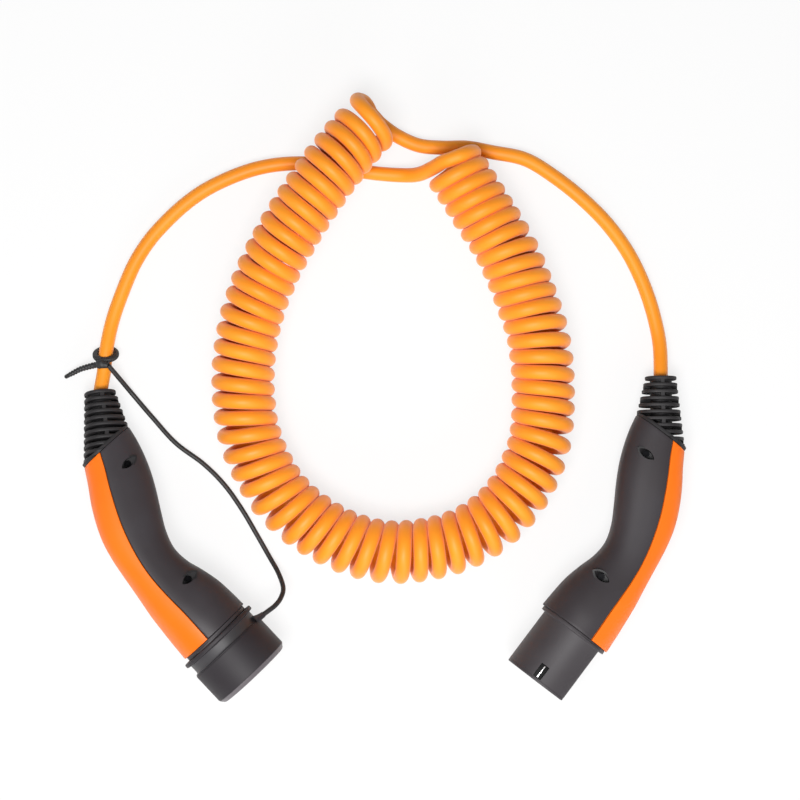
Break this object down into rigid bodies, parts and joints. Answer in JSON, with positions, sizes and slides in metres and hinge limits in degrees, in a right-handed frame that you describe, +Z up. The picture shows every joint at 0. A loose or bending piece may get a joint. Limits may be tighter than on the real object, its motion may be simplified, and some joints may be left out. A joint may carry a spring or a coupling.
{
  "type": "charging cable",
  "caption": "Spiral charging cable for an electric car, laid in a loop, with a capped plug at one end and an open plug at the other.",
  "frame": {"origin": "on the floor, under the middle of the box round the two plugs", "axes": "+X from the capped plug to the open plug, +Y from the plugs' noses to their cable ends, +Z up from the floor"},
  "size_m": [0.5342, 0.5077, 0.074],
  "materials": {
    "cable_jacket": "satin orange polyurethane jacket",
    "cover_plastic": "satin orange moulded plastic",
    "handle_plastic": "fine-grained dark grey moulded plastic",
    "black_rubber": "matte black soft rubber",
    "seal_rubber": "matte black seal",
    "carrier_plastic": "black glass-filled plastic",
    "socket_metal": "silver-plated copper alloy",
    "pin_metal": "silver-plated copper alloy",
    "resistor_body": "lacquered resistor with tinned leads",
    "core_insulation": "coloured core insulation",
    "clamp_plastic": "black nylon",
    "screw_steel": "zinc-plated steel",
    "plate_steel": "bright steel"
  },
  "bodies": {
    "root": {"car_shell_screw_side": "handle_plastic", "car_shell_nut_side": "handle_plastic", "car_back_cover": "cover_plastic", "car_boot": "black_rubber", "car_nose": "handle_plastic", "car_nose_seal": "seal_rubber", "car_contact_carrier": "carrier_plastic", "car_contact_earth": "socket_metal", "car_contact_neutral": "socket_metal", "car_contact_line_1": "socket_metal", "car_contact_line_2": "socket_metal", "car_contact_line_3": "socket_metal", "car_contact_pilot": "socket_metal", "car_contact_proximity": "socket_metal", "car_coding_resistor": "resistor_body", "car_conductors": "core_insulation", "car_cable_clamp": "clamp_plastic", "car_clamp_screws": "screw_steel", "car_housing_screws": "screw_steel", "car_housing_nuts": "screw_steel", "car_lock_plates": "plate_steel", "station_shell_screw_side": "handle_plastic", "station_shell_nut_side": "handle_plastic", "station_back_cover": "cover_plastic", "station_boot": "black_rubber", "station_nose": "handle_plastic", "station_nose_seal": "seal_rubber", "station_contact_carrier": "carrier_plastic", "station_contact_earth": "pin_metal", "station_contact_neutral": "pin_metal", "station_contact_line_1": "pin_metal", "station_contact_line_2": "pin_metal", "station_contact_line_3": "pin_metal", "station_contact_pilot": "pin_metal", "station_contact_proximity": "pin_metal", "station_coding_resistor": "resistor_body", "station_conductors": "core_insulation", "station_cable_clamp": "clamp_plastic", "station_clamp_screws": "screw_steel", "station_housing_screws": "screw_steel", "station_housing_nuts": "screw_steel", "station_lock_plates": "plate_steel", "nose_cap": "black_rubber", "cap_tether": "black_rubber", "tether_strap": "black_rubber", "cable_lead_station": "cable_jacket", "spiral_coil": "cable_jacket", "cable_lead_car": "cable_jacket"}
  },
  "joints": []
}
